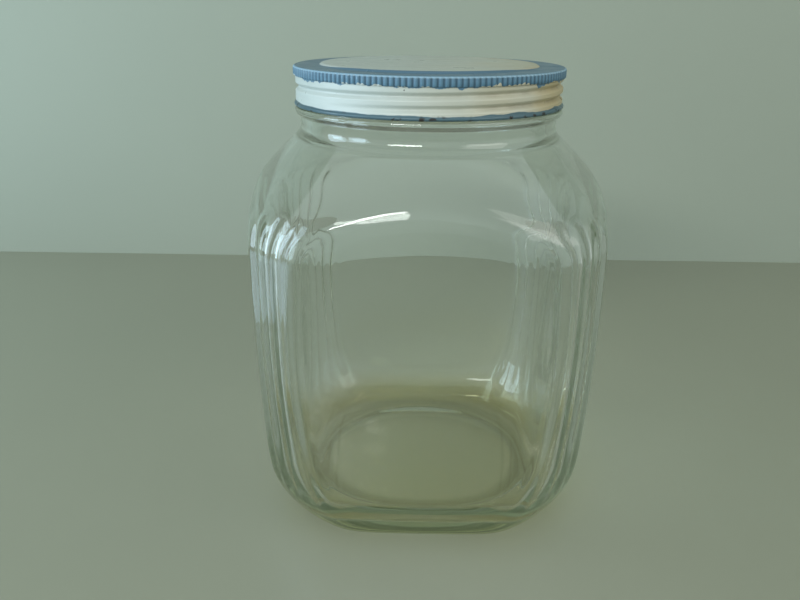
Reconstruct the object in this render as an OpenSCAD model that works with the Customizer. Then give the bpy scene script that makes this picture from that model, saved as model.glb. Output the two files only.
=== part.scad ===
// Square glass canister with fluted corners and a screw lid of painted tinplate.
// Z is the axis of the neck, and the canister stands on z = 0.

/* [Jar body] */
// Height of the glass, from the bearing ring to the sealing lip
jar_h = 207.5; // [198:0.5:225]
// Distance from the axis to each flat panel, carried down to z = 0
panel_d = 73.6; // [71:0.2:76]
// How far the round corners stand out past that distance, where the body is widest
corner_out = 21.4; // [19:0.2:26]
// Lean of each panel away from the axis as it rises, in degrees
panel_draft = 1.9; // [1:0.1:2.6]
// Bow of each panel, from its edges out to its middle
panel_bow = 0.4; // [0.1:0.1:1]
// Height below which the corners draw in towards the base
belly_z = 114; // [90:1:125]
// Radius of the long curve that they follow
belly_r = 490; // [400:10:800]
// Radius of the turn from the side into the shoulder
shoulder_r = 24; // [18:1:30]
// Slope of the shoulder above that turn, in degrees from upright
shoulder_slope = 45; // [42:1:50]
// Height of the rounded heel under the corners
heel_h = 40; // [30:1:50]
// How far that heel draws in
heel_in = 14; // [10:0.5:18]
// Height of the rounded heel under the panels
panel_heel_h = 28; // [20:1:36]
// How far that heel draws in
panel_heel_in = 14.5; // [11:0.5:17]
// Thickness of the glass in the walls
wall = 3.2; // [2.6:0.1:4.2]
// Thickness of the glass in the floor
floor_t = 6.5; // [3.5:0.5:8]

/* [Corner flutes] */
// Number of flutes on each corner
flutes = 4; // [3:1:5]
// Depth of the valleys beside each flute
flute_d = 1; // [0.8:0.1:2.2]
// Length over which the flutes run out under the shoulder
flute_top_run = 8; // [5:1:12]
// Height at which the flutes run out on the heel
flute_foot_z = 14; // [10:1:20]
// Length over which they do
flute_foot_run = 12; // [8:1:16]

/* [Base] */
// Width of the foot, from the panels' heel in to the pushed-up circle
foot_w = 4.6; // [3.6:0.2:9]
// Height of the push-up at its centre
push_h = 3; // [1:0.5:4]
// Width of the bearing ring around it
bearing_w = 2.4; // [1.6:0.2:3]
// Height that the ring stands below the glass beside it
bearing_h = 0.4; // [0.3:0.1:0.8]

/* [Neck and screw finish] */
// Outside diameter over the thread
thread_d = 119.6; // [119:0.2:120.4]
// How far the neck under the bead stands in from the thread's outside
neck_in = 0.8; // [0:0.1:1.6]
// Thickness of the glass at the lip
lip_w = 3.85; // [3.2:0.05:5]
// Height of the thread over the wall that it stands on
thread_h = 1.7; // [1.3:0.1:1.9]
// Rise of the thread in one turn
pitch = 5.08; // [4.8:0.04:5.4]
// Turns of thread on the glass
glass_turns = 1.3; // [1:0.05:1.5]
// Height of the finish, from the lip down to the bead
finish_h = 15.9; // [15:0.1:18]
// Depth of the thread's centre below the lip, at the front
thread_drop = 4.1; // [3.7:0.1:4.6]
// How far the bead stands out past the thread
bead_out = 1.7; // [1:0.1:2.4]
// Height of the bead
bead_h = 3.8; // [3:0.1:5]
// Height of the neck from the bead down to the shoulder's slope
neck_h = 6.9; // [5:0.1:9]
// Radius of the fillet between neck and shoulder
neck_fillet = 6.5; // [4:0.5:9]

/* [Lid] */
// Thickness of the tinplate
tin = 0.3; // [0.26:0.02:0.4]
// Clearance between the skirt and the thread on the glass
skirt_play = 0.8; // [0.6:0.1:1.4]
// How far the knurls stand out past the skirt
knurl_out = 1; // [0.8:0.1:1.6]
// Number of knurls
knurls = 158; // [120:2:170]
// Depth of the gaps between the knurls
knurl_gap_d = 0.7; // [0.4:0.1:0.9]
// Height of the knurled band
knurl_h = 3.8; // [3:0.2:5]
// Radius of the edge over the knurls
rim_r = 1; // [0.6:0.1:1.4]
// Width of the rim, from the knurls in to the raised disc
deck_w = 12.5; // [10.5:0.5:18]
// Height of that disc over the rim
disc_rise = 0.9; // [0.5:0.1:1.4]
// Height of the curled edge's foot over the bead on the glass
skirt_gap = 0; // [0:0.1:1]
// Height of the curled edge
curl_h = 1.7; // [1.3:0.1:2.2]
// Turns of the rolled thread
lid_turns = 1.5; // [1.2:0.05:1.6]
// Depth of the rolled thread, from the skirt inwards
roll_d = 1.6; // [1.3:0.1:1.7]

/* [Liner] */
// Thickness of the pulpboard wad
board_t = 1; // [0.8:0.1:1.4]
// Thickness of the waxed facing under it
facing_t = 0.3; // [0.2:0.05:0.5]
// Clearance between the wad and the lid's wall
liner_gap = 0.5; // [0.3:0.1:0.9]

/* [Hidden] */
$fn = 96;

// heights on the glass, from the lip down
bead_top_z = jar_h - finish_h;
bead_z = bead_top_z - bead_h;
root_z = bead_z - neck_h;
thread_r = thread_d/2;
neck_r = thread_r - neck_in;
bead_r = thread_r + bead_out;
wall_r = thread_r - thread_h;
mouth_r = wall_r - lip_w;
// radii of the body: over its corners, and of the pushed-up circle
corner_r = panel_d + corner_out;
push_r = panel_d - panel_heel_in - foot_w;

// shoulder: an arc from the upright side to the slope, then the slope
slope_tan = tan(shoulder_slope);
turn_in = shoulder_r*(1 - cos(shoulder_slope));
turn_end_z = root_z - (corner_r - turn_in - neck_r)/slope_tan;
shoulder_z = turn_end_z - shoulder_r*sin(shoulder_slope);
fillet_run = neck_fillet*tan(shoulder_slope/2);
fillet_z = root_z + fillet_run;
fillet_foot_z = root_z - fillet_run*cos(shoulder_slope);
// where each panel's arch ends, on the slope
draft_tan = tan(panel_draft);
arch_z = (neck_r + root_z*slope_tan - panel_d)/(slope_tan + draft_tan);
flute_top_z = turn_end_z + 2;
// the loft stops just short of the fillet's end, where it is neck_step wider than the neck
neck_step = 0.15;
body_top_z = fillet_z - sqrt(pow(neck_fillet, 2) - pow(neck_fillet - neck_step, 2));

// points around each ring of the body: half a side is panel_n steps, then the flutes
panel_n = 2;
flute_n = 4;
half_n = panel_n + flute_n*flutes/2;
ring_n = 8*half_n;
// the least half angle that the panel's columns keep above the arch
least_a = 4;

// horizontal thickness of the wall: the shoulder's slope makes it wider
function wall_at(z) = let (k = (z - shoulder_z)/(turn_end_z - shoulder_z))
    wall*(1 + (1/cos(shoulder_slope) - 1)*min(max(k, 0), 1));
// share of a length done at z
function ramp(z, z0, run) = min(max((z - z0)/run, 0), 1);
// how far an elliptical heel draws in at z
function heel(z, h, d) = z < h ? d*(1 - sqrt(1 - pow((h - z)/h, 2))) : 0;
// radius of the round body before its heel
function side_r(z) =
    z > fillet_z ? neck_r
    : z > fillet_foot_z ? neck_r + neck_fillet - sqrt(pow(neck_fillet, 2) - pow(fillet_z - z, 2))
    : z > turn_end_z ? neck_r + (root_z - z)*slope_tan
    : z > shoulder_z ? corner_r - shoulder_r + sqrt(pow(shoulder_r, 2) - pow(z - shoulder_z, 2))
    : z > belly_z ? corner_r
    : corner_r - pow(belly_z - z, 2)/(2*belly_r);
function panel_at(z) = panel_d + z*draft_tan;
// depth of the flutes' valleys at z
function valley(z) = flute_d*(1 - ramp(z, flute_top_z - flute_top_run, flute_top_run))
    *ramp(z, flute_foot_z, flute_foot_run);
// one ring of the body: r at the valleys, a to the panels, d the flutes' depth
function body_ring(z, r, a, d) =
    let (edge = max(a < r ? acos(a/r) : 0, least_a),
         half = [for (i = [0:half_n])
             i <= panel_n ? edge*i/panel_n : edge + (45 - edge)*(i - panel_n)/(half_n - panel_n)],
         rad = [for (i = [0:half_n])
             let (flat = (a + panel_bow*(1 - pow(i/panel_n, 2)))/cos(half[i]),
                  s = (i - panel_n)/flute_n, f = s - floor(s))
             i <= panel_n ? min(flat, r) : r + d*4*f*(1 - f)])
    [for (q = [0:3]) each concat(
        [for (i = [0:half_n - 1]) [rad[i]*cos(90*q + half[i]), rad[i]*sin(90*q + half[i]), z]],
        [for (i = [half_n:-1:1]) [rad[i]*cos(90*q + 90 - half[i]), rad[i]*sin(90*q + 90 - half[i]), z]])];
function outer_ring(z) = body_ring(z, side_r(z) - valley(z) - heel(z, heel_h, heel_in),
    panel_at(z) - heel(z, panel_heel_h, panel_heel_in), valley(z));
function inner_ring(z) = body_ring(z,
    side_r(z) - flute_d*ramp(turn_end_z - z, 0, flute_top_run) - wall_at(z)
        - heel(z - inner_z, heel_h - inner_z, heel_in),
    panel_at(z) - wall_at(z) - heel(z - inner_z, panel_heel_h - inner_z, panel_heel_in), 0);

// heights of the rings: close together where the outline turns
outer_levels = concat(
    [for (i = [0:8]) bearing_h + (heel_h - bearing_h)*(1 - cos(90*i/8))],
    [for (i = [1:5]) heel_h + (shoulder_z - heel_h)*i/5],
    [for (i = [1:7]) shoulder_z + (turn_end_z - shoulder_z)*i/7],
    [for (i = [1:5]) arch_z - (arch_z - turn_end_z)*pow(1 - i/5, 2)],
    [for (i = [1:2]) arch_z + (fillet_foot_z - arch_z)*i/2],
    [for (i = [1:3]) fillet_foot_z + (body_top_z - fillet_foot_z)*i/3]);
inner_z = push_h + floor_t;
inner_top_z = fillet_foot_z;
inner_levels = concat(
    [for (i = [0:6]) inner_z + (heel_h - inner_z)*(1 - cos(90*i/6))],
    [for (i = [1:3]) heel_h + (shoulder_z - heel_h)*i/3],
    [for (i = [1:5]) shoulder_z + (turn_end_z - shoulder_z)*i/5],
    [for (i = [1:4]) arch_z - (arch_z - turn_end_z)*pow(1 - i/4, 2)],
    [inner_top_z]);

// a closed solid through rings that all have the same number of points
module loft(rings) {
    n = len(rings[0]);
    m = len(rings);
    polyhedron(
        points = [for (r = rings) each r],
        faces = concat(
            [[for (i = [0:n - 1]) i]],
            [for (k = [0:m - 2], i = [0:n - 1])
                let (j = (i + 1)%n) each [
                    [k*n + i, (k + 1)*n + i, (k + 1)*n + j],
                    [k*n + i, (k + 1)*n + j, k*n + j]]],
            [[for (i = [n - 1:-1:0]) (m - 1)*n + i]]),
        convexity = 6);
}

// a helical ridge of four-sided section between radii r0 and r1: w0 and w1 are its heights there
// a0 is the angle of its lower end, z0 its centre's height there, and run the angle it fades over
helix_step = 5;
module helix(r0, r1, w0, w1, z0, a0, turns, run) {
    steps = round(turns*360/helix_step);
    sweep = turns*360;
    // the section shrinks to its ends, and never to nothing
    function size(a) = max(0.08, min(min(a, sweep - a)/run, 1));
    loft([for (k = [0:steps])
        let (a = sweep*k/steps, z = z0 + pitch*a/360, s = size(a),
             tip = r0 + (r1 - r0)*s, h0 = w0/2*(0.3 + 0.7*s), h1 = w1/2*(0.3 + 0.7*s),
             c = cos(a0 + a), n = sin(a0 + a))
        [[r0*c, r0*n, z - h0], [tip*c, tip*n, z - h1], [tip*c, tip*n, z + h1], [r0*c, r0*n, z + h0]]]);
}

// ---- the jar ----
// the thread on the glass: its centre passes the front at thread_drop below the lip
front_a = 270;
thread_embed = 0.6;
thread_tip_w = 1.1;
thread_foot_w = 2.7;
glass_start_a = front_a - 360*(glass_turns - 0.2);
glass_start_z = jar_h - thread_drop - pitch*(front_a - glass_start_a)/360;
thread_fade_a = 40;

module finish_profile() {
    lip_r = 1.4;
    polygon(concat(
        [[0, fillet_foot_z], [neck_r, fillet_foot_z], [neck_r, bead_z]],
        [for (a = [-90:18:90]) [bead_r - bead_h/2 + bead_h/2*cos(a), bead_z + bead_h/2*(1 + sin(a))]],
        [[wall_r, bead_top_z]],
        [for (a = [0:15:90]) [wall_r - lip_r + lip_r*cos(a), jar_h - lip_r + lip_r*sin(a)]],
        [[0, jar_h]]));
}

module glass_jar() {
    color([0.80, 0.88, 0.84, 0.6])
    difference() {
        union() {
            loft([for (z = outer_levels) outer_ring(z)]);
            rotate_extrude() finish_profile();
            // bearing ring
            cylinder(h = bearing_h + 1, r = push_r + bearing_w);
            helix(wall_r - thread_embed, thread_r, thread_foot_w + 0.5, thread_tip_w,
                glass_start_z, glass_start_a, glass_turns, thread_fade_a);
        }
        loft([for (z = inner_levels) inner_ring(z)]);
        translate([0, 0, inner_top_z - 1])
            cylinder(h = jar_h - inner_top_z + 2, r = mouth_r);
        // push-up under the floor: a shallow cone
        translate([0, 0, -0.01])
            rotate_extrude() polygon([[0, 0], [push_r, 0], [push_r - 3, push_h*0.8], [0, push_h]]);
    }
}

// ---- the lid ----
liner_z = jar_h;
deck_in_z = liner_z + facing_t + board_t;
deck_z = deck_in_z + tin;
skirt_z = bead_top_z + skirt_gap;
skirt_r = thread_r + skirt_play + tin;
knurl_r = skirt_r + knurl_out;
disc_r = knurl_r - deck_w;
knurl_z = deck_z - rim_r*0.4 - knurl_h;
// play between the two threads, measured along the axis
thread_play = 0.35;
roll_tip_w = 1;
roll_foot_w = 2.8;
// the lid's thread lies under the glass thread: half of each width apart, and the play
roll_drop = (thread_tip_w + (thread_foot_w - thread_tip_w)*0.5 + roll_tip_w
    + (roll_foot_w - roll_tip_w)*0.5)/2 + thread_play;
lid_start_a = front_a - 360 - 48;
lid_start_z = jar_h - thread_drop - roll_drop - pitch*(front_a - lid_start_a)/360;
roll_fade_a = 30;

// section of the lid at radius r for the outside, with the metal inside it
module lid_outline() {
    edge_r = skirt_r + 0.1;
    polygon(concat(
        [[0, skirt_z + curl_h/2], [skirt_r, skirt_z + curl_h/2], [skirt_r, knurl_z]],
        [[edge_r, knurl_z + 0.2]],
        [for (a = [0:15:90]) [edge_r - rim_r + rim_r*cos(a), deck_z - rim_r + rim_r*sin(a)]],
        [[disc_r + disc_rise, deck_z], [disc_r, deck_z + disc_rise], [0, deck_z + disc_rise]]));
}
module lid_hollow() {
    in_r = skirt_r - tin;
    polygon([[0, skirt_z - 1], [in_r, skirt_z - 1], [in_r, deck_in_z - 0.5], [in_r - 0.5, deck_in_z],
        [disc_r + disc_rise - tin/2, deck_in_z], [disc_r - tin/2, deck_in_z + disc_rise],
        [0, deck_in_z + disc_rise]]);
}
module knurl_band() {
    steps = knurls*4;
    translate([0, 0, knurl_z])
        linear_extrude(height = knurl_h)
            difference() {
                polygon([for (i = [0:steps - 1])
                    let (a = 360*i/steps, r = knurl_r - knurl_gap_d*pow(sin(a*knurls/2), 4))
                    [r*cos(a), r*sin(a)]]);
                circle(r = skirt_r - tin/2);
            }
}
module lid_shell() {
    color([0.82, 0.85, 0.80])
    difference() {
        union() {
            difference() {
                rotate_extrude() lid_outline();
                rotate_extrude() lid_hollow();
            }
            // inner side of the rolled thread
            helix(skirt_r - tin/2, skirt_r - tin - roll_d, roll_foot_w + tin, roll_tip_w + tin,
                lid_start_z, lid_start_a, lid_turns, roll_fade_a);
            // curled edge
            translate([0, 0, skirt_z + curl_h/2])
                rotate_extrude()
                    translate([skirt_r - tin/2, 0])
                        circle(d = curl_h, $fn = 24);
            knurl_band();
        }
        // outer side of the rolled thread
        helix(skirt_r + 1, skirt_r - roll_d, roll_foot_w + 1.2, roll_tip_w - tin,
            lid_start_z, lid_start_a, lid_turns, roll_fade_a);
    }
}

// ---- the liner ----
module liner_board() {
    color([0.78, 0.74, 0.62])
    translate([0, 0, liner_z + facing_t])
        cylinder(h = board_t, r = skirt_r - tin - liner_gap);
}
module liner_facing() {
    color([0.90, 0.90, 0.86])
    translate([0, 0, liner_z])
        cylinder(h = facing_t, r = skirt_r - tin - liner_gap);
}

glass_jar();
liner_board();
liner_facing();
lid_shell();
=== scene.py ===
import math

import bpy
from mathutils import Matrix, Vector, noise


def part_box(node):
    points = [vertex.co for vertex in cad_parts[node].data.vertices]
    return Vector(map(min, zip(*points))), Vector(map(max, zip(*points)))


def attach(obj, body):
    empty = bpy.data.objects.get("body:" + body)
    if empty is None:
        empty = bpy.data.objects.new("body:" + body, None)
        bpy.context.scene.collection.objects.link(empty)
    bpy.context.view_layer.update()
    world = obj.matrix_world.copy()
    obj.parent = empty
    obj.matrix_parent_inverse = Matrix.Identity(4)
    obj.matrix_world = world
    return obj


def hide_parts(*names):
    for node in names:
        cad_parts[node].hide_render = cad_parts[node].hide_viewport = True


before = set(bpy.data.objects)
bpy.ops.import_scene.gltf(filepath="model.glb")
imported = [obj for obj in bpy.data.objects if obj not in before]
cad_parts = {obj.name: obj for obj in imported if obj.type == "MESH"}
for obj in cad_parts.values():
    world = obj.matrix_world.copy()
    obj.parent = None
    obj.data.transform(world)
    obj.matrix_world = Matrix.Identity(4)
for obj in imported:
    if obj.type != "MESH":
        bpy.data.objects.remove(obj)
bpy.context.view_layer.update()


# ---- The jar ----
# One piece of clear soda-lime glass, blown in a two-part mould. The mould presses four leaning flat
# panels and sixteen flutes into a round body; the neck, its bead and the screw finish stay round.
# It stands on a narrow ring around the pushed-up base.
MM = 0.001


def soft_min(a, b, blend):
    """The smaller of a and b, with the corner between them rounded over about blend."""
    low, gap = min(a, b), abs(a - b)
    return low - blend * math.log1p(math.exp(-gap / blend))


def ramp(value, start, length):
    """Rises smoothly from 0 at start to 1 at start + length."""
    t = min(max((value - start) / length, 0), 1)
    return t * t * (3 - 2 * t)


def steps(first, last, count):
    """count values after first, evenly spaced, the last of them last."""
    return [first + (last - first) * i / count for i in range(1, count + 1)]


def closed_loft(name, rings):
    """A closed smooth mesh through rings of (x, y, z) in millimetres, with a fan over each end."""
    count = len(rings[0])
    points = [tuple(c * MM for c in p) for ring in rings for p in ring]
    for ring in (rings[0], rings[-1]):
        points.append(tuple(sum(c) / count * MM for c in zip(*ring)))
    first, last = len(points) - 2, len(points) - 1
    faces = []
    for k in range(len(rings) - 1):
        low, high = k * count, (k + 1) * count
        for i in range(count):
            j = (i + 1) % count
            faces.append((low + i, low + j, high + j, high + i))
    top = (len(rings) - 1) * count
    for i in range(count):
        j = (i + 1) % count
        faces.append((first, j, i))
        faces.append((last, top + i, top + j))
    mesh = bpy.data.meshes.new(name)
    mesh.from_pydata(points, [], faces)
    mesh.shade_smooth()
    piece = bpy.data.objects.new(name, mesh)
    bpy.context.scene.collection.objects.link(piece)
    return piece


jar_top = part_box("glass_jar")[1].z / MM
# the round body through its corners, and its sloping shoulder
corner_r, shoulder_r, slope = 95, 24, math.radians(45)
belly_z, belly_r = 114, 490
# flat panels: distance from the axis at the table, lean and bow
panel_d, panel_lean, panel_bow = 73.6, math.radians(1.9), 0.4
# heels, where the corners and the panels draw in towards the base
heel_h, heel_in, panel_heel_h, panel_heel_in = 40, 14, 28, 14.5
# flutes on each corner: number, depth, and how sharp the valleys between them are
flutes, flute_d, flute_foot, flute_foot_run, flute_round = 4, 0.9, 12, 16, 1.1
# pushed-up base and the ring the jar stands on
push_r, push_h, ring_w, ring_h, ring_step = 54.5, 3, 2.4, 0.4, 0.8
# neck, its bead, the mouth and the screw finish
neck_r, mouth_r, bead_r, bead_h, fillet, lip = 59, 54.25, 61.5, 3.8, 6.5, 1.6
finish_h, finish_r, pitch, turns = 15.9, 58.1, 5.08, 1.3
# its thread: height, half width, and the angle over which each end fades
thread_h, thread_half, thread_fade = 1.7, 1.5, 0.6
# the glass itself: it is thicker towards the base, and its inner side follows the flutes less than half
wall, floor_z, floor_dome, blend = 3.2, 9.5, 1.2, 1.9
inner_flute, panel_taper, corner_taper = 0.42, 0.018, 0.0045
# its inner shoulder lies this much lower than the outer one
inner_drop = 2.5
# gentle waves of blown glass: depth, how many to the jar's radius, and height of one
inner_wave, inner_across, inner_up = 0.2, 2.6, 34
outer_wave, outer_across, outer_up = 0.05, 3.4, 30
inner_shift = 8.25
# the thread's upper pass across the front: how far below the lip, and how many turns from its start
thread_front, turns_to_front = 4.1, turns - 0.2

bead_top = jar_top - finish_h
bead_z = bead_top - bead_h
root_z = bead_z - 6.9
turn_in = shoulder_r * (1 - math.cos(slope))
turn_end = root_z - (corner_r - turn_in - neck_r) / math.tan(slope)
shoulder_z = turn_end - shoulder_r * math.sin(slope)
fillet_top = root_z + fillet * math.tan(slope / 2)
fillet_foot = root_z - fillet * math.tan(slope / 2) * math.cos(slope)
arch_z = (neck_r + root_z * math.tan(slope) - panel_d) / (math.tan(slope) + math.tan(panel_lean))
flute_top, flute_top_run = turn_end + 2, 9
hold_z = turn_end - 5
foot_z = ring_h + 0.05


def heel(z, height, depth):
    """How far an elliptical heel draws in at z."""
    return depth * (1 - math.sqrt(1 - ((height - z) / height) ** 2)) if z < height else 0


def round_r(z):
    """Radius of the round body at z, before its heel."""
    if z >= fillet_top:
        return neck_r
    if z > fillet_foot:
        return neck_r + fillet - math.sqrt(fillet ** 2 - (fillet_top - z) ** 2)
    if z > turn_end:
        return neck_r + (root_z - z) * math.tan(slope)
    if z > shoulder_z:
        return corner_r - shoulder_r + math.sqrt(shoulder_r ** 2 - (z - shoulder_z) ** 2)
    return corner_r - max(belly_z - z, 0) ** 2 / (2 * belly_r)


def panel_at(z):
    """Distance from the axis to a panel at z, before its heel."""
    return panel_d + z * math.tan(panel_lean)


# columns: (share of the panel's half, share of the flutes' half) from a panel's middle to a corner
panel_n, flute_n = 10, 15
half_columns = [((1 - (1 - i / panel_n) ** 1.7), 0) for i in range(panel_n + 1)]
half_columns += [(1, i / (flute_n * flutes / 2)) for i in range(1, flute_n * flutes // 2 + 1)]


def columns(z):
    """(angle, share across the panel, share across the flutes) for each column of a ring at z."""
    z = min(z, hold_z)
    r = round_r(z) - heel(z, heel_h, heel_in)
    edge = math.acos((panel_at(z) - heel(z, panel_heel_h, panel_heel_in)) / r)
    half = [(edge * p + (math.pi / 4 - edge) * f, p, f) for p, f in half_columns]
    mirrored = [(math.pi / 2 - a, p, f) for a, p, f in half[-2:0:-1]]
    return [(q * math.pi / 2 + a, p, f) for q in range(4) for a, p, f in half + mirrored]


def body_ring(z, inset=0):
    """A ring of the body: outside with inset 0, or the inner side with its corners inset by that much."""
    valley = flute_d * (1 - ramp(z, flute_top - flute_top_run, flute_top_run))
    valley *= ramp(z, flute_foot, flute_foot_run)
    low = 0 if inset == 0 else floor_z
    drop_r = heel(z - low, heel_h - low, heel_in)
    drop_a = heel(z - low, panel_heel_h - low, panel_heel_in)
    below = max(shoulder_z - z, 0)
    panel_inset = min(inset, wall) + panel_taper * below if inset else 0
    corner_inset = inset + corner_taper * below if inset else 0
    ring = []
    for angle, p, f in columns(z):
        off = math.remainder(angle, math.pi / 2)
        flat = (panel_at(z) - drop_a + panel_bow * (1 - p * p) - panel_inset) / math.cos(off)
        lobe = f * flutes / 2 % 1
        crest = math.hypot(4 * lobe * (1 - lobe), flute_round) - flute_round
        crest /= math.hypot(1, flute_round) - flute_round
        share = inner_flute * crest if inset else crest
        side = round_r(z) - drop_r - valley * (1 - share) - corner_inset
        x, y = math.cos(angle), math.sin(angle)
        if inset:
            r = soft_min(flat, side, blend * 2)
            spot = Vector((x * inner_across, y * inner_across, z / inner_up + inner_shift))
            r += inner_wave * noise.noise(spot)
        else:
            r = soft_min(flat, side, blend)
            spot = Vector((x * outer_across, y * outer_across, z / outer_up))
            r += outer_wave * noise.noise(spot)
        ring.append((r * x, r * y, z))
    return ring


def circle_ring(r, z):
    """A round ring in the same columns."""
    return [(r * math.cos(a), r * math.sin(a), z) for a, p, f in columns(min(z, hold_z))]


def thread_ring(z):
    """A ring of the screw finish, with its one right-hand thread fading in and out at its ends."""
    start = 1.5 * math.pi - math.tau * turns_to_front
    start_z = jar_top - thread_front - pitch * turns_to_front
    ring = []
    for angle, p, f in columns(hold_z):
        rise = 0
        for turn in range(2):
            sweep = (angle - start) % math.tau + math.tau * turn
            fade = ramp(sweep, 0, thread_fade)
            fade *= 1 - ramp(sweep, math.tau * turns - thread_fade, thread_fade)
            off = abs(z - start_z - pitch * sweep / math.tau) / thread_half
            rise = max(rise, fade * thread_h * (1 - ramp(off, 0.35, 0.65)))
        ring.append(((finish_r + rise) * math.cos(angle), (finish_r + rise) * math.sin(angle), z))
    return ring


def blended_ring(inner, outer, t, z):
    """A ring t of the way between two rings, at height z."""
    return [(a[0] + (b[0] - a[0]) * t, a[1] + (b[1] - a[1]) * t, z) for a, b in zip(inner, outer)]


def make_jar():
    rings = []
    # push-up, its step and the bearing ring
    for t in steps(0.06, 1, 20):
        rings.append(circle_ring(push_r * t, push_h * (1 - t * t) ** 0.9))
    for t in steps(0, 1, 3):
        rings.append(circle_ring(push_r + 0.1 + (ring_w - 0.5) * t, 0))
    for t in steps(0, 1, 4):
        rings.append(circle_ring(push_r + ring_w - 0.4 + t, ring_step * ring_h * ramp(t, 0, 1)))
    foot = body_ring(foot_z)
    step_edge = rings[-1]
    for t in steps(0, 0.9, 6):
        rings.append(blended_ring(step_edge, foot, t, ring_h * (ring_step + (1 - ring_step) * t)))
    # body, from the heel up to the neck
    for a in steps(0, math.pi / 2, 26):
        rings.append(body_ring(foot_z + (heel_h - foot_z) * (1 - math.cos(a))))
    for z in steps(heel_h, shoulder_z, 30) + steps(shoulder_z, turn_end, 22):
        rings.append(body_ring(z))
    for z in steps(turn_end, arch_z + 2, 16) + steps(arch_z + 2, fillet_foot, 9):
        rings.append(body_ring(z))
    for a in steps(0, 1, 9):
        z = fillet_top - fillet * math.sin(slope * (1 - a))
        r = neck_r + fillet * (1 - math.cos(slope * (1 - a)))
        rings.append(circle_ring(r, z))
    rings += [circle_ring(neck_r, z) for z in steps(fillet_top, bead_z, 4)]
    # bead, screw finish and lip
    half = bead_h / 2
    for a in steps(-math.pi / 2, math.pi / 2, 16):
        rings.append(circle_ring(bead_r - half + half * math.cos(a), bead_z + half * (1 + math.sin(a))))
    rings += [thread_ring(z) for z in [bead_top + 0.1] + steps(bead_top + 0.1, jar_top - lip, 30)]
    middle, half = (finish_r + mouth_r) / 2, (finish_r - mouth_r) / 2
    for a in steps(0, math.pi, 12):
        rings.append(circle_ring(middle + half * math.cos(a), jar_top - lip * (1 - math.sin(a))))
    # inside: bore, shoulder, wall, heel and floor
    rings += [circle_ring(mouth_r, z) for z in steps(jar_top - lip, fillet_top, 6)]
    slant = wall / math.cos(slope)
    for t in steps(0, 1, 8):
        z = fillet_top - (fillet_top - fillet_foot) * t
        outer = body_ring(z - inner_drop, slant)
        rings.append(blended_ring(circle_ring(mouth_r, z), outer, t * t, z - inner_drop * t))
    low = fillet_foot - inner_drop
    for z in steps(low, arch_z, 9) + steps(arch_z, turn_end, 8):
        rings.append(body_ring(z, slant))
    for z in steps(turn_end, shoulder_z, 10):
        share = (z - shoulder_z) / (turn_end - shoulder_z)
        rings.append(body_ring(z, wall + (slant - wall) * share))
    rings += [body_ring(z, wall) for z in steps(shoulder_z, heel_h, 20)]
    for a in steps(math.pi / 2, 0.12, 18):
        rings.append(body_ring(floor_z + (heel_h - floor_z) * (1 - math.cos(a)), wall))
    edge = rings[-1]
    for t in steps(0, 0.95, 12):
        dome = floor_dome * ramp(t, 0.25, 0.6)
        rings.append(blended_ring(edge, circle_ring(0, 0), t, edge[0][2] + dome))
    return closed_loft("clear_glass_jar", rings)


def add(tree, kind, inputs=None, **settings):
    """A node with its settings, and its inputs by name or place: a value, or a socket to link."""
    made = tree.nodes.new(kind)
    for key, value in settings.items():
        setattr(made, key, value)
    for key, value in (inputs or {}).items():
        if isinstance(value, bpy.types.NodeSocket):
            tree.links.new(value, made.inputs[key])
        else:
            made.inputs[key].default_value = value
    return made


def new_material(name):
    """An empty node material, its tree, and its output node."""
    made = bpy.data.materials.new(name)
    made.use_nodes = True
    tree = made.node_tree
    tree.nodes.clear()
    return made, tree, tree.nodes.new("ShaderNodeOutputMaterial")


def mottle_group():
    """A shader group: soft clouds, 0 where their noise is below Low and 1 where it is above High."""
    tree = bpy.data.node_groups.new("mottle", "ShaderNodeTree")
    tree.interface.new_socket("Vector", in_out="INPUT", socket_type="NodeSocketVector")
    for name in ("Scale", "Detail", "Low", "High"):
        tree.interface.new_socket(name, in_out="INPUT", socket_type="NodeSocketFloat")
    tree.interface.new_socket("Share", in_out="OUTPUT", socket_type="NodeSocketFloat")
    given = tree.nodes.new("NodeGroupInput").outputs
    clouds = add(tree, "ShaderNodeTexNoise", {
        "Vector": given["Vector"], "Scale": given["Scale"], "Detail": given["Detail"]})
    share = add(tree, "ShaderNodeMapRange", {
        "Value": clouds.outputs["Fac"], "From Min": given["Low"], "From Max": given["High"]})
    add(tree, "NodeGroupOutput", {"Share": share.outputs["Result"]})
    return tree


mottle_tree = mottle_group()


def mottle(tree, spot, scale, detail, low, high):
    """The shared mottle at a spot, with one material's own sizes."""
    inputs = {"Vector": spot, "Scale": scale, "Detail": detail, "Low": low, "High": high}
    return add(tree, "ShaderNodeGroup", inputs, node_tree=mottle_tree).outputs["Share"]


def mixed_colour(tree, share, below, above):
    """The colour share of the way from below to above."""
    return add(tree, "ShaderNodeMix", {0: share, 6: below, 7: above}, data_type="RGBA").outputs[2]


def spread(tree, value, low, high, **settings):
    """Rises from 0 where value is at low to 1 where it is at high."""
    inputs = {"Value": value, "From Min": low, "From Max": high}
    return add(tree, "ShaderNodeMapRange", inputs, **settings).outputs["Result"]


def product(tree, a, b):
    """a times b."""
    return add(tree, "ShaderNodeMath", {0: a, 1: b}, operation="MULTIPLY").outputs[0]


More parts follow.
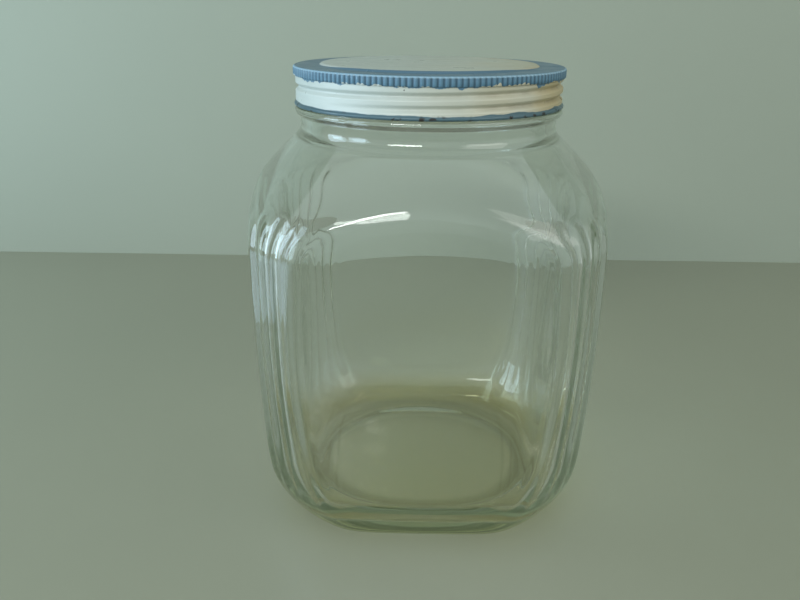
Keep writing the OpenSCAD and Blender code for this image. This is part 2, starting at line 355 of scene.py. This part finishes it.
def clear_glass():
    """Faintly green glass: smudged, olive where its base and heel are thick, open to lamplight, and with a
    painted glow on long light paths.
    """
    made, tree, out = new_material("clear_glass")
    spot = add(tree, "ShaderNodeTexCoord").outputs["Object"]
    smudge = mottle(tree, spot, 22.0, 5.0, 0.52, 0.8)
    smudge_rough = 0.09
    thin_tone, base_tone = (0.965, 0.978, 0.972, 1), (0.872, 0.845, 0.680, 1)
    ring_tone, heel_tone = (0.64, 0.61, 0.42, 1), (0.66, 0.60, 0.34, 1)

    # the solid base, from the floor's edge down
    height = add(tree, "ShaderNodeSeparateXYZ", {0: spot}).outputs["Z"]
    thick = spread(tree, height, 0.026, 0.010)
    tone = mixed_colour(tree, thick, thin_tone, base_tone)
    # the thick ring at the push-up's edge
    flat = add(tree, "ShaderNodeVectorMath", {0: spot, 1: (1.0, 1.0, 0.0)}, operation="MULTIPLY")
    reach = add(tree, "ShaderNodeVectorMath", {0: flat.outputs[0]}, operation="LENGTH").outputs["Value"]
    off = add(tree, "ShaderNodeMath", {0: reach, 1: push_r * MM}, operation="SUBTRACT")
    apart = add(tree, "ShaderNodeMath", {0: off.outputs[0]}, operation="ABSOLUTE")
    near = spread(tree, apart.outputs[0], 0.0065, 0.0005, interpolation_type="SMOOTHSTEP")
    tone = mixed_colour(tree, product(tree, near, thick), tone, ring_tone)
    # the heel, seen edge on
    outer = spread(tree, reach, 0.060, 0.068)
    lowest = spread(tree, height, 0.018, 0.005)
    tone = mixed_colour(tree, product(tree, outer, lowest), tone, heel_tone)

    glass = add(tree, "ShaderNodeBsdfPrincipled", {
        "Base Color": tone, "IOR": 1.52, "Transmission Weight": 1.0,
        "Roughness": product(tree, smudge, smudge_rough)})
    through = add(tree, "ShaderNodeBsdfTransparent", {"Color": (0.90, 0.90, 0.88, 1)})
    path = add(tree, "ShaderNodeLightPath")
    mix = add(tree, "ShaderNodeMixShader", {0: path.outputs["Is Shadow Ray"], 1: glass.outputs[0],
                                            2: through.outputs[0]})
    depth = add(tree, "ShaderNodeVolumeAbsorption", {"Color": (0.55, 0.62, 0.45, 1), "Density": 10.0})
    # light that has wandered through the glass many times is replaced by a painted glow in the room's
    # average colour
    many = 9.5
    late = add(tree, "ShaderNodeMath", {0: path.outputs["Ray Depth"], 1: many}, operation="GREATER_THAN")
    painted_room_glow = add(tree, "ShaderNodeEmission", {"Color": (0.27, 0.32, 0.28, 1), "Strength": 1.0})
    ended = add(tree, "ShaderNodeMixShader", {
        0: late.outputs[0], 1: mix.outputs[0], 2: painted_room_glow.outputs[0]})
    tree.links.new(ended.outputs[0], out.inputs["Surface"])
    tree.links.new(depth.outputs[0], out.inputs["Volume"])
    return made


jar = make_jar()
jar.data.materials.append(clear_glass())
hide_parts("glass_jar")
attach(jar, "jar")


# ---- The liner's facing ----
# A disc of waxed paper glued under the pulpboard. It seals on the jar's lip, whose ring stays
# pressed into it.
def disc_rings(radius, low, high, dent, edge, rows):
    """Rings of a disc with a rounded edge, whose underside carries the lip's ring, dent deep."""
    columns_round, centre_r = 144, 0.5
    angles = [math.tau * i / columns_round for i in range(columns_round)]

    def ring(r, z):
        return [(r * math.cos(a), r * math.sin(a), z) for a in angles]

    lip_r = (finish_r + mouth_r) / 2
    middle, half = (low + high) / 2, (high - low) / 2
    rings = []
    for r in steps(centre_r, radius - edge, rows):
        pressed = dent * math.exp(-((r - lip_r) / lip) ** 2)
        rings.append(ring(r, low + pressed))
    for a in steps(-math.pi / 2, math.pi / 2, 6):
        rings.append(ring(radius - edge + edge * math.cos(a), middle + half * math.sin(a)))
    for r in steps(radius - edge, centre_r, 8):
        rings.append(ring(r, high))
    return rings


facing_low, facing_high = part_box("liner_facing")
liner_r = facing_high.x / MM
facing = closed_loft("waxed_liner_facing", disc_rings(
    liner_r, facing_low.z / MM, facing_high.z / MM, 0.06, 0.15, 48))


def waxed_paper():
    """Off-white waxed paper with a faint mottle."""
    made, tree, out = new_material("waxed_paper")
    spot = add(tree, "ShaderNodeTexCoord").outputs["Object"]
    waxy = mottle(tree, spot, 90.0, 6.0, 0.3, 0.7)
    colour = mixed_colour(tree, waxy, (0.62, 0.60, 0.50, 1), (0.75, 0.74, 0.66, 1))
    bump = add(tree, "ShaderNodeBump", {"Height": waxy, "Strength": 0.2, "Distance": 0.0001})
    paper = add(tree, "ShaderNodeBsdfPrincipled", {
        "Base Color": colour, "Roughness": 0.38, "Normal": bump.outputs["Normal"]})
    tree.links.new(paper.outputs[0], out.inputs["Surface"])
    return made


facing.data.materials.append(waxed_paper())
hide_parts("liner_facing")
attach(facing, "liner")


# ---- The liner's board ----
# A die-cut wad of grey-brown pulpboard, pushed up into the lid behind its facing. It gives a little
# when the lid is screwed down, and so keeps the facing pressed on the lip.
board_low, board_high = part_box("liner_board")
board = closed_loft("pulpboard_wad", disc_rings(
    liner_r, board_low.z / MM + 0.01, board_high.z / MM - 0.01, 0, 0.2, 12))


def pulpboard():
    """Grey-brown pulp with short fibres."""
    made, tree, out = new_material("pulpboard")
    spot = add(tree, "ShaderNodeTexCoord").outputs["Object"]
    stretched = add(tree, "ShaderNodeMapping", {"Vector": spot, "Scale": (1.0, 3.0, 1.0)})
    fibres = mottle(tree, stretched.outputs[0], 420.0, 8.0, 0.32, 0.68)
    colour = mixed_colour(tree, fibres, (0.20, 0.15, 0.09, 1), (0.42, 0.34, 0.23, 1))
    bump = add(tree, "ShaderNodeBump", {"Height": fibres, "Strength": 0.5, "Distance": 0.00007})
    pulp = add(tree, "ShaderNodeBsdfPrincipled", {
        "Base Color": colour, "Roughness": 0.9, "Normal": bump.outputs["Normal"]})
    tree.links.new(pulp.outputs[0], out.inputs["Surface"])
    return made


board.data.materials.append(pulpboard())
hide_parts("liner_board")
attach(board, "liner")


# ---- The lid ----
# Drawn from one sheet of 0.3 mm tinplate: a raised disc, a rolled thread that bites under the jar's,
# and a curled edge. It was painted by hand, white with blue edges, and the paint has chipped and aged.
disc_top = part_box("lid_shell")[1].z / MM
# the sheet, and the raised disc with the step around it
tin, disc_r, disc_rise, step_w = 0.3, 49.4, 0.9, 1.9
step_in, step_out = disc_r - 0.9, disc_r + 1
deck = disc_top - disc_rise
# the skirt, its rounded upper edge and the curl at its foot
skirt_r, skirt_h, skirt_round, curl_h = 60.9, 17.5, 0.7, 1.7
skirt_foot = deck - skirt_h
# the knurled rim
knurls, rim_r, rim_h, knurl_d = 158, 61.9, 4.2, 0.5
# the rolled thread: it starts a turn and 48 degrees before the front, and runs under the glass thread
roll_d, roll_half, roll_turns, roll_before, roll_under = 1.5, 1.9, 1.5, 48, 2.25
# the angles over which it fades in and out
roll_in, roll_out = 0.9, 0.7
roll_start = 1.5 * math.pi - math.tau - math.radians(roll_before)
roll_start_z = jar_top - thread_front - roll_under - pitch * (1 + roll_before / 360)
lid_columns = 360


def roll(angle, z):
    """Depth of the rolled thread at an angle and a height."""
    deepest = 0
    for turn in range(2):
        sweep = (angle - roll_start) % math.tau + math.tau * turn
        fade = ramp(sweep, 0, roll_in) * (1 - ramp(sweep, math.tau * roll_turns - roll_out, roll_out))
        off = abs(z - roll_start_z - pitch * sweep / math.tau) / roll_half
        if off < 1:
            deepest = max(deepest, fade * math.cos(off * math.pi / 2) ** 2)
    return roll_d * deepest


def lid_ring(r, z, rolled):
    """A ring of the lid, with the rolled thread where rolled is 1."""
    made = []
    for i in range(lid_columns):
        a = math.tau * i / lid_columns
        s = r - rolled * roll(a, z)
        made.append((s * math.cos(a), s * math.sin(a), z))
    return made


def make_lid():
    """The lid without its knurled rim, and how many of its first rings are on its inner side."""
    rings = []
    # outside: disc, its step, the rim's inner part
    for r in steps(3, step_in, 12):
        rings.append(lid_ring(r, disc_top, 0))
    for t in steps(0, 1, 6):
        rings.append(lid_ring(step_in + step_w * t, disc_top - disc_rise * ramp(t, 0, 1), 0))
    for r in steps(step_out, skirt_r - skirt_round, 4):
        rings.append(lid_ring(r, deck, 0))
    for a in steps(0, math.pi / 2, 5):
        r = skirt_r - skirt_round + skirt_round * math.sin(a)
        rings.append(lid_ring(r, deck - skirt_round + skirt_round * math.cos(a), 0))
    # skirt with its rolled thread, then the curl, whose last four rings face the glass
    rings += [lid_ring(skirt_r, z, 1) for z in steps(deck - skirt_round, skirt_foot + curl_h, 64)]
    curl = curl_h / 2
    for a in steps(math.pi / 2, -math.pi, 14):
        r = skirt_r - 0.15 + curl * math.cos(a)
        rings.append(lid_ring(r, skirt_foot + curl + curl * math.sin(a), 0))
    outside = len(rings) - 4
    # inside
    inner = skirt_r - tin
    rings.append(lid_ring(inner - 0.3, skirt_foot + curl_h + 0.3, 1))
    rings += [lid_ring(inner, z, 1) for z in steps(skirt_foot + curl_h + 0.5, deck - tin - 0.5, 60)]
    rings.append(lid_ring(inner - 0.5, deck - tin, 0))
    for t in steps(0, 1, 5):
        r = step_out - 0.1 - step_w * t
        rings.append(lid_ring(r, deck - tin + disc_rise * ramp(t, 0, 1), 0))
    for r in steps(step_in - 0.1, 3, 8):
        rings.append(lid_ring(r, disc_top - tin, 0))
    return closed_loft("painted_lid", rings[::-1]), len(rings) - outside


lid, inner_rings = make_lid()


def mark_lid(mesh):
    """Marks each point with its share of the rolled thread's depth, and with 1 on the tin's inner side."""
    groove = mesh.attributes.new("groove", "FLOAT", "POINT")
    inside = mesh.attributes.new("inside", "FLOAT", "POINT")
    for point in mesh.vertices:
        x, y, z = point.co / MM
        if math.hypot(x, y) > neck_r - 4:
            groove.data[point.index].value = roll(math.atan2(y, x), z) / roll_d
        under = point.index < inner_rings * lid_columns or point.index == len(mesh.vertices) - 2
        inside.data[point.index].value = 1 if under else 0


mark_lid(lid.data)


def knurl_slice():
    """One knurl with half a gap on each side, as a closed slice of the rim."""
    # share of a knurl's width, and how deep the gap is there
    across = [(-0.5, 1), (-0.38, 0.85), (-0.25, 0.1), (0, 0), (0.25, 0.1), (0.38, 0.85), (0.5, 1)]
    # distance in from the rim's edge, height over its foot, and how much of the gap's depth is there
    outline = [(1.15, 0.15, 0), (0.85, -0.1, 0), (0.4, -0.05, 0.6), (0.1, 0.25, 1)]
    outline += [(0, 0.8, 1), (0, 2.1, 1), (0, 3.3, 1), (0.15, 3.72, 0.8)]
    outline += [(0.52, 4.05, 0.3), (1, rim_h, 0), (1.75, rim_h - 0.02, 0)]
    outline += [(1.28, 3.8, 0), (1.15, 2.1, 0)]
    points, gaps, faces = [], [], []
    for t, gap in across:
        a = t * math.tau / knurls
        for inwards, h, share in outline:
            r = rim_r - inwards - knurl_d * gap * share
            points.append((r * math.cos(a) * MM, r * math.sin(a) * MM, (deck - rim_h + h) * MM))
            gaps.append(gap * share)
    n = len(outline)
    for i in range(len(across) - 1):
        for j in range(n):
            k = (j + 1) % n
            faces.append((i * n + j, (i + 1) * n + j, (i + 1) * n + k, i * n + k))
    mesh = bpy.data.meshes.new("knurl_slice")
    mesh.from_pydata(points, [], faces)
    mesh.attributes.new("gap", "FLOAT", "POINT").data.foreach_set("value", gaps)
    mesh.shade_smooth()
    piece = bpy.data.objects.new("knurled_rim", mesh)
    bpy.context.scene.collection.objects.link(piece)
    return piece


def around_axis():
    """A geometry tree that repeats its mesh around the axis and joins the repeats into one ring."""
    tree = bpy.data.node_groups.new("around_axis", "GeometryNodeTree")
    tree.interface.new_socket("Geometry", in_out="INPUT", socket_type="NodeSocketGeometry")
    tree.interface.new_socket("Count", in_out="INPUT", socket_type="NodeSocketInt")
    tree.interface.new_socket("Seam", in_out="INPUT", socket_type="NodeSocketFloat")
    tree.interface.new_socket("Finish", in_out="INPUT", socket_type="NodeSocketMaterial")
    tree.interface.new_socket("Geometry", in_out="OUTPUT", socket_type="NodeSocketGeometry")
    given = tree.nodes.new("NodeGroupInput").outputs
    points = add(tree, "GeometryNodePoints", {"Count": given["Count"]})
    index = add(tree, "GeometryNodeInputIndex")
    part = add(tree, "ShaderNodeMath", {0: index.outputs[0], 1: given["Count"]}, operation="DIVIDE")
    turn = add(tree, "ShaderNodeMath", {0: part.outputs[0], 1: math.tau}, operation="MULTIPLY")
    euler = add(tree, "ShaderNodeCombineXYZ", {"Z": turn.outputs[0]})
    rotation = add(tree, "FunctionNodeEulerToRotation", {"Euler": euler.outputs[0]})
    copies = add(tree, "GeometryNodeInstanceOnPoints", {
        "Points": points.outputs[0], "Instance": given["Geometry"], "Rotation": rotation.outputs[0]})
    real = add(tree, "GeometryNodeRealizeInstances", {"Geometry": copies.outputs[0]})
    ring = add(tree, "GeometryNodeMergeByDistance", {
        "Geometry": real.outputs[0], "Distance": given["Seam"]})
    made = add(tree, "GeometryNodeSetMaterial", {
        "Geometry": ring.outputs[0], "Material": given["Finish"]})
    out = tree.nodes.new("NodeGroupOutput")
    tree.links.new(made.outputs[0], out.inputs[0])
    return tree


def grow(piece, tree, values):
    """Runs a geometry tree with values by input name, and leaves its result as the piece's plain mesh."""
    modifier = piece.modifiers.new(tree.name, "NODES")
    modifier.node_group = tree
    for item in tree.interface.items_tree:
        if item.in_out == "INPUT" and item.name in values:
            modifier[item.identifier] = values[item.name]
    seen = piece.evaluated_get(bpy.context.evaluated_depsgraph_get())
    mesh = bpy.data.meshes.new_from_object(seen)
    piece.modifiers.remove(modifier)
    piece.data = mesh


def brushed_paint():
    """Thick brushed enamel: white with blue rims, drips, chips, a darker rolled thread, yellowing, painted
    shade and a painted highlight; dull tin inside.
    """
    made, tree, out = new_material("hand_painted_tin")
    spot = add(tree, "ShaderNodeTexCoord").outputs["Object"]
    xyz = add(tree, "ShaderNodeSeparateXYZ", {0: spot})

    def calc(operation, a, b=0.0):
        return add(tree, "ShaderNodeMath", {0: a, 1: b}, operation=operation).outputs[0]

    def span(value, low, high, start=0.0, end=1.0):
        inputs = {"Value": value, "From Min": low, "From Max": high, "To Min": start, "To Max": end}
        return add(tree, "ShaderNodeMapRange", inputs).outputs["Result"]

    def clouds(scale, detail=3.0, vector=spot):
        inputs = {"Vector": vector, "Scale": scale, "Detail": detail}
        return add(tree, "ShaderNodeTexNoise", inputs).outputs["Fac"]

    def tint(share, below, above):
        return mixed_colour(tree, share, below, above)

    groove = add(tree, "ShaderNodeAttribute", attribute_name="groove").outputs["Fac"]
    gap = add(tree, "ShaderNodeAttribute", attribute_name="gap").outputs["Fac"]
    inside = add(tree, "ShaderNodeAttribute", attribute_name="inside").outputs["Fac"]
    # height and radius in millimetres, and the share towards +X of painted shade and yellowing
    z = calc("MULTIPLY", xyz.outputs["Z"], 1 / MM)
    flat = add(tree, "ShaderNodeCombineXYZ", {0: xyz.outputs["X"], 1: xyz.outputs["Y"]}).outputs[0]
    out_from_axis = add(tree, "ShaderNodeVectorMath", {0: flat}, operation="LENGTH").outputs["Value"]
    r = calc("MULTIPLY", out_from_axis, 1 / MM)
    side_from, side_to = -0.03, 0.055
    side = calc("POWER", span(xyz.outputs["X"], side_from, side_to), 1.5)
    wobble = calc("SUBTRACT", clouds(55.0), 0.5)
    runs = mottle(tree, flat, 70.0, 2.0, 0.52, 0.75)
    streaks = add(tree, "ShaderNodeMapping", {"Vector": spot, "Scale": (14.0, 14.0, 420.0)}).outputs[0]
    brush = clouds(1.0, 4.0, streaks)

    # where the blue lies: over the rim's line, outside the disc, and under the band's line
    rim_line, band_line, disc_line, crisp = deck - 4, skirt_foot + 2.3, disc_r + 0.5, 0.12
    upper = calc("ADD", rim_line, calc("MULTIPLY", wobble, 3.4))
    upper = calc("SUBTRACT", upper, calc("MULTIPLY", gap, 0.6))
    upper = calc("SUBTRACT", upper, calc("MULTIPLY", runs, 1.5))
    upper = calc("ADD", upper, calc("MULTIPLY", calc("SUBTRACT", clouds(260.0, 2.0, flat), 0.5), 4.5))
    over = span(calc("SUBTRACT", z, upper), -crisp, crisp)
    front = calc("MAXIMUM", calc("MULTIPLY", xyz.outputs["Y"], -1 / (disc_r + 0.1) / MM), 0.0)
    drawn_in = calc("MULTIPLY", calc("POWER", front, 3.0), 2.6)
    edge_r = calc("SUBTRACT", calc("ADD", disc_line, wobble), drawn_in)
    ring = span(calc("SUBTRACT", r, edge_r), -0.15, 0.15)
    over = calc("MULTIPLY", over, ring)
    sway = calc("ADD", 2.2, calc("MULTIPLY", side, 3.0))
    lower = calc("ADD", band_line, calc("MULTIPLY", wobble, sway))
    under = span(calc("SUBTRACT", z, lower), -crisp, crisp, 1.0, 0.0)

    # white, brushed, with painted shade and yellowing towards +X, darker brown in the rolled thread, and
    # painted shade on the top disc
    # painted shade on the +X side, away from the windows, mixed with yellowing of the paint
    shade_and_yellowing = calc("MULTIPLY", side, span(clouds(30.0), 0.35, 0.65, 0.55, 1.0))
    white = tint(shade_and_yellowing, (0.490, 0.548, 0.535, 1), (0.450, 0.345, 0.150, 1))
    white = tint(span(brush, 0.3, 0.7), white, tint(shade_and_yellowing, (0.545, 0.603, 0.590, 1), (0.53, 0.43, 0.23, 1)))
    # darker brown in the rolled thread, mottled, stronger towards +X
    groove_darkening = calc("MULTIPLY", calc("POWER", groove, 1.6), span(clouds(110.0), 0.35, 0.62, 0.05, 0.6))
    groove_darkening = calc("MULTIPLY", groove_darkening, span(side, 0.0, 1.0, 0.15, 1.0))
    white = tint(groove_darkening, white, (0.20, 0.165, 0.11, 1))
    # painted shade on the top disc
    disc_shade = span(z, deck + 0.2, disc_top - 0.1)
    white = tint(calc("MULTIPLY", disc_shade, 0.35), white, (0.30, 0.34, 0.30, 1))

    # blue, with painted shade between the knurls and on the deck, and a painted highlight along the rim's
    # upper edge
    blue_top = tint(span(brush, 0.3, 0.7), (0.070, 0.165, 0.255, 1), (0.115, 0.235, 0.340, 1))
    # painted shade in the gaps between the knurls
    blue_top = tint(calc("MULTIPLY", gap, 0.7), blue_top, (0.020, 0.055, 0.090, 1))
    # painted shade on the deck
    deck_shade = span(z, deck - 0.15, deck)
    blue_top = tint(calc("MULTIPLY", deck_shade, 0.75), blue_top, (0.070, 0.135, 0.200, 1))
    # a painted highlight along the rim's upper edge
    edge_highlight = calc("MULTIPLY", span(z, deck - 0.9, deck - 0.6), span(z, deck - 0.07, deck - 0.17))
    blue_top = tint(calc("MULTIPLY", edge_highlight, 0.8), blue_top, (0.27, 0.43, 0.55, 1))
    blue_low = tint(span(brush, 0.3, 0.7), (0.040, 0.088, 0.115, 1), (0.085, 0.155, 0.190, 1))
    colour = tint(over, white, blue_top)
    colour = tint(under, colour, blue_low)

    # chips down to rust along the curled edge, and a few specks
    edge = span(z, band_line + 0.1, skirt_foot + 1)
    chip = calc("MULTIPLY", mottle(tree, spot, 300.0, 6.0, 0.60, 0.625), edge)
    on_skirt = span(z, rim_line + 0.9, rim_line - 1.1)
    speck = calc("MULTIPLY", mottle(tree, spot, 330.0, 3.0, 0.73, 0.76), on_skirt)
    chip = calc("MAXIMUM", chip, speck)
    colour = tint(chip, colour, (0.026, 0.022, 0.018, 1))

    # bare dull tin on the inner side
    dulled = mottle(tree, spot, 40.0, 3.0, 0.3, 0.7)
    tin_colour = tint(dulled, (0.46, 0.42, 0.33, 1), (0.56, 0.53, 0.46, 1))
    colour = tint(inside, colour, tin_colour)

    # gloss and relief
    rough = span(clouds(90.0, 4.0), 0.3, 0.7, 0.26, 0.46)
    rough = calc("MAXIMUM", rough, calc("MULTIPLY", chip, 0.85))
    height = calc("ADD", calc("MULTIPLY", brush, 0.5), calc("MULTIPLY", calc("MAXIMUM", over, under), 0.5))
    height = calc("ADD", height, calc("MULTIPLY", clouds(150.0, 2.0), 0.6))
    height = calc("SUBTRACT", height, chip)
    bump = add(tree, "ShaderNodeBump", {"Height": height, "Strength": 0.55, "Distance": 0.00012})
    paint = add(tree, "ShaderNodeBsdfPrincipled", {
        "Base Color": colour, "Roughness": rough, "Metallic": calc("MULTIPLY", inside, 0.9),
        "Normal": bump.outputs["Normal"]})
    tree.links.new(paint.outputs[0], out.inputs["Surface"])
    return made


paint = brushed_paint()
lid.data.materials.append(paint)
rim = knurl_slice()
grow(rim, around_axis(), {"Count": knurls, "Seam": 0.00002, "Finish": paint})
for piece in (lid, rim):
    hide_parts("lid_shell")
    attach(piece, "lid")


# ---- The table, the light and the view ----
# A plain pale table against a plain wall, lit from the left by two windows and a bright patch of table,
# from the front by a narrow window, and by the room.
def flat_sheet(name, corners, colour, rough):
    """A sheet of the stage in a faintly blotched colour, clear from behind."""
    mesh = bpy.data.meshes.new(name)
    mesh.from_pydata(corners, [], [(0, 1, 2, 3)])
    sheet = bpy.data.objects.new(name, mesh)
    bpy.context.scene.collection.objects.link(sheet)
    made, tree, out = new_material(name)
    spot = add(tree, "ShaderNodeTexCoord").outputs["Object"]
    blotch = mottle(tree, spot, 3.0, 3.0, 0.0, 1.0)
    darker, lighter = [(*[c * share for c in colour], 1) for share in (0.94, 1.05)]
    shade = mixed_colour(tree, blotch, darker, lighter)
    face = add(tree, "ShaderNodeBsdfPrincipled", {"Base Color": shade, "Roughness": rough})
    clear = add(tree, "ShaderNodeBsdfTransparent")
    back = add(tree, "ShaderNodeNewGeometry")
    mix = add(tree, "ShaderNodeMixShader", {
        0: back.outputs["Backfacing"], 1: face.outputs[0], 2: clear.outputs[0]})
    tree.links.new(mix.outputs[0], out.inputs["Surface"])
    sheet.data.materials.append(made)


half_w, wall_y, wall_h = 1.6, 0.387, 1.2
flat_sheet("table", [(-half_w, -half_w, 0), (half_w, -half_w, 0), (half_w, half_w, 0), (-half_w, half_w, 0)],
           (0.291, 0.304, 0.234), 0.32)
flat_sheet("wall", [(-half_w, wall_y, 0), (half_w, wall_y, 0), (half_w, wall_y, wall_h),
                    (-half_w, wall_y, wall_h)], (0.345, 0.385, 0.322), 0.7)

# the room lights the table dimly, and looks paler where gloss mirrors it or glass shows it
world = bpy.data.worlds.new("room")
world.use_nodes = True
room = world.node_tree
room.nodes.clear()
path = add(room, "ShaderNodeLightPath")
seen = add(room, "ShaderNodeMath", {
    0: path.outputs["Is Glossy Ray"], 1: path.outputs["Is Transmission Ray"]}, operation="MAXIMUM")
dim = add(room, "ShaderNodeBackground", {"Color": (0.62, 0.70, 0.64, 1), "Strength": 0.66})
pale = add(room, "ShaderNodeBackground", {"Color": (0.74, 0.83, 0.80, 1), "Strength": 0.95})
blend_in = add(room, "ShaderNodeMixShader", {0: seen.outputs[0], 1: dim.outputs[0], 2: pale.outputs[0]})
sky = room.nodes.new("ShaderNodeOutputWorld")
room.links.new(blend_in.outputs[0], sky.inputs["Surface"])
bpy.context.scene.world = world


def soft_light(name, place, target, width, height, power, colour):
    """A rectangular lamp at place, facing target."""
    lamp = bpy.data.lights.new(name, "AREA")
    lamp.shape = "RECTANGLE"
    lamp.size, lamp.size_y = width, height
    lamp.energy = power
    lamp.color = colour
    holder = bpy.data.objects.new(name, lamp)
    aim = (Vector(target) - Vector(place)).to_track_quat("-Z", "Y")
    holder.matrix_world = Matrix.Translation(place) @ aim.to_matrix().to_4x4()
    bpy.context.scene.collection.objects.link(holder)
    return holder


jar_middle, daylight = (0, 0, 0.12), (0.62, 0.83, 1.0)
soft_light("side_window_near", (-1.10, -0.56, 0.38), jar_middle, 0.36, 0.62, 3.9, daylight)
soft_light("side_window_far", (-1.14, -0.06, 0.38), jar_middle, 0.36, 0.62, 3.9, daylight)
soft_light("front_window", (-0.36, -0.98, 0.66), jar_middle, 0.52, 0.11, 5.2, (0.97, 1.0, 0.98))
patch = soft_light("bright_table", (-0.57, -0.10, 0.004), (-0.57, -0.10, 1.0), 0.50, 0.50, 1.25,
                   (0.55, 0.78, 1.0))
# the glass mirrors the patch, and doesn't show the lamp itself through its walls
patch.visible_transmission = False
soft_light("room_fill", (1.1, -0.8, 0.9), (0, 0.1, 0.1), 1.0, 0.8, 5.0, (1.0, 0.99, 0.95))

# the glass needs long light paths, because a sight line can cross eight of its faces and be thrown back
scene = bpy.context.scene
scene.view_settings.view_transform = "Standard"
scene.cycles.max_bounces = 32
scene.cycles.glossy_bounces = 24
scene.cycles.transmission_bounces = 32

eye = (-0.0070, -0.3966, 0.2373)
camera_data = bpy.data.cameras.new("camera")
camera_data.lens, camera_data.sensor_width = 37.71, 36
camera_data.clip_start = 0.01
camera = bpy.data.objects.new("camera", camera_data)
scene.collection.objects.link(camera)
down, aside, tilt = math.radians(19.78), math.radians(0.75), math.radians(0.60)
forward = Vector((-math.sin(aside) * math.cos(down), math.cos(aside) * math.cos(down), -math.sin(down)))
level = Vector((math.cos(aside), math.sin(aside), 0))
above = level.cross(forward)
right = level * math.cos(tilt) + above * math.sin(tilt)
up = above * math.cos(tilt) - level * math.sin(tilt)
frame_axes = Matrix((right, up, -forward)).transposed().to_4x4()
camera.matrix_world = Matrix.Translation(eye) @ frame_axes
scene.camera = camera
